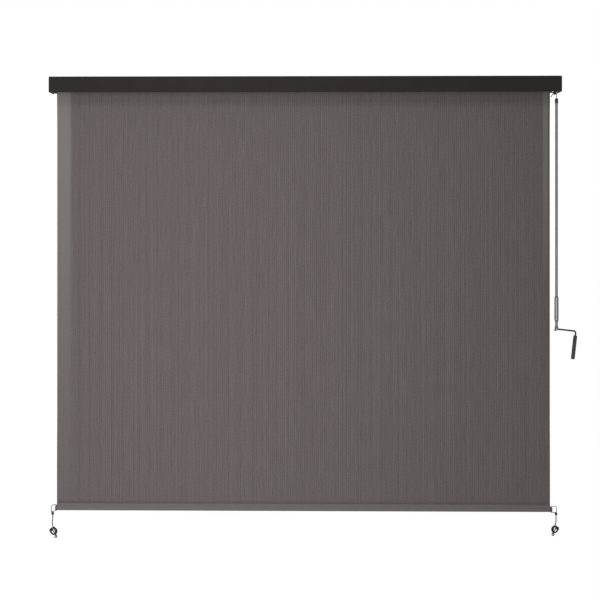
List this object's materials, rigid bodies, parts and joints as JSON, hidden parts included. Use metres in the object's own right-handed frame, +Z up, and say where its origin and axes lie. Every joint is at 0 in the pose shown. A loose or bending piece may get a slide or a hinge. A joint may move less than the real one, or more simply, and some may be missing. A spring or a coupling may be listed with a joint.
{
  "type": "outdoor roller shade",
  "caption": "Wide outdoor roller shade in a dark valance, with a geared crank pole on its right and a bungee tie-down at each end of its hem.",
  "frame": {"origin": "the middle of the four wall screw holes, on the wall plane, half way along the valance", "axes": "+Z up, +X right seen from the front, +Y into the wall, so the front faces -Y"},
  "size_m": [2.523, 0.09, 2.2139],
  "materials": {
    "valance_paint": "satin charcoal powder coat",
    "cap_plastic": "fine moulded grain, charcoal",
    "bracket_steel": "dark powder coat",
    "spring_steel": "plain spring steel",
    "screw_steel": "zinc plated",
    "housing_plastic": "moulded black nylon",
    "bush_plastic": "moulded acetal",
    "roller_aluminium": "extruded",
    "gear_brass": "machined",
    "worm_steel": "machined",
    "shade_fabric": "knitted mesh, warm grey",
    "black_plastic": "moulded black",
    "ring_steel": "blackened wire",
    "hook_steel": "bright zinc wire",
    "bungee": "braided cover over rubber",
    "pole_metal": "satin drawn tube",
    "sleeve_plastic": "smooth dark tube",
    "arm_steel": "blackened rod",
    "grip_plastic": "fluted black"
  },
  "bodies": {
    "head": {"valance": "valance_paint", "valance_cap_left": "cap_plastic", "valance_cap_right": "cap_plastic", "valance_cap_screws": "screw_steel", "bracket_idle": "bracket_steel", "bracket_gear": "bracket_steel", "valance_clip_left": "spring_steel", "valance_clip_right": "spring_steel", "gear_housing_inner": "housing_plastic", "gear_housing_outer": "housing_plastic", "gear_screws": "screw_steel", "worm_bush_upper": "bush_plastic", "worm_bush_lower": "bush_plastic", "idle_pin": "screw_steel"},
    "roller": {"roller_tube": "roller_aluminium", "worm_wheel": "gear_brass", "drive_adapter": "housing_plastic", "idle_plug": "housing_plastic", "idle_bush": "bush_plastic", "fabric_spline": "bush_plastic", "fabric_wraps": "shade_fabric"},
    "hem_bar": {"fabric_panel": "shade_fabric", "hem_tube": "roller_aluminium", "hem_cap_left": "black_plastic", "tie_ring_left": "ring_steel", "tie_hook_left": "hook_steel", "tie_ferrule_left": "black_plastic", "tie_cord_left": "bungee", "tie_coil_left": "bungee", "tie_band_left": "bungee", "tie_end_left": "black_plastic", "hem_cap_right": "black_plastic", "tie_ring_right": "ring_steel", "tie_hook_right": "hook_steel", "tie_ferrule_right": "black_plastic", "tie_cord_right": "bungee", "tie_coil_right": "bungee", "tie_band_right": "bungee", "tie_end_right": "black_plastic"},
    "gear_input": {"worm": "worm_steel", "crank_eye": "black_plastic", "eye_pin": "screw_steel", "worm_circlip": "spring_steel"},
    "pole": {"pole_hook": "hook_steel", "pole_ferrule": "black_plastic", "pole_tube": "pole_metal", "sleeve_stop_upper": "bush_plastic", "sleeve_stop_lower": "bush_plastic", "knuckle_clevis": "pole_metal", "knuckle_pin": "screw_steel"},
    "sleeve": {"pole_sleeve": "sleeve_plastic"},
    "arm": {"crank_arm": "arm_steel", "grip_retainer": "arm_steel"},
    "grip": {"crank_grip": "grip_plastic", "grip_cap": "grip_plastic"}
  },
  "joints": [
    {"name": "roller_turn", "type": "hinge", "parent": "head", "child": "roller", "pos_m": [0, -0.047, 0], "axis": [1, 0, 0], "range_deg": [0, 3960]},
    {"name": "rail_lift", "type": "slide", "parent": "head", "child": "hem_bar", "axis": [0, 0, 1], "range_m": [0, 1.93], "deforming": ["fabric_panel"]},
    {"name": "crank_turn", "type": "hinge", "parent": "head", "child": "gear_input", "pos_m": [1.1895, -0.06825, 0], "axis": [0, 0, 1], "range_deg": [0, 27720]},
    {"name": "pole_swing", "type": "hinge", "parent": "gear_input", "child": "pole", "pos_m": [1.1895, -0.06825, -0.0384], "axis": [-1, 0, 0], "range_deg": [0, 60]},
    {"name": "sleeve_spin", "type": "hinge", "parent": "pole", "child": "sleeve", "pos_m": [1.1975, -0.06825, -1.07], "axis": [0, 0, 1], "continuous": true},
    {"name": "handle_fold", "type": "hinge", "parent": "pole", "child": "arm", "pos_m": [1.1975, -0.06825, -1.165], "axis": [0, 1, 0], "range_deg": [-6, 84]},
    {"name": "grip_spin", "type": "hinge", "parent": "arm", "child": "grip", "pos_m": [1.28049, -0.06825, -1.25163], "axis": [0.1097, 0, 0.994], "continuous": true}
  ],
  "couplings": [
    {"joint": "rail_lift", "follows": "roller_turn", "m_per_rad": 0.02792},
    {"joint": "crank_turn", "follows": "roller_turn", "ratio": 7}
  ]
}
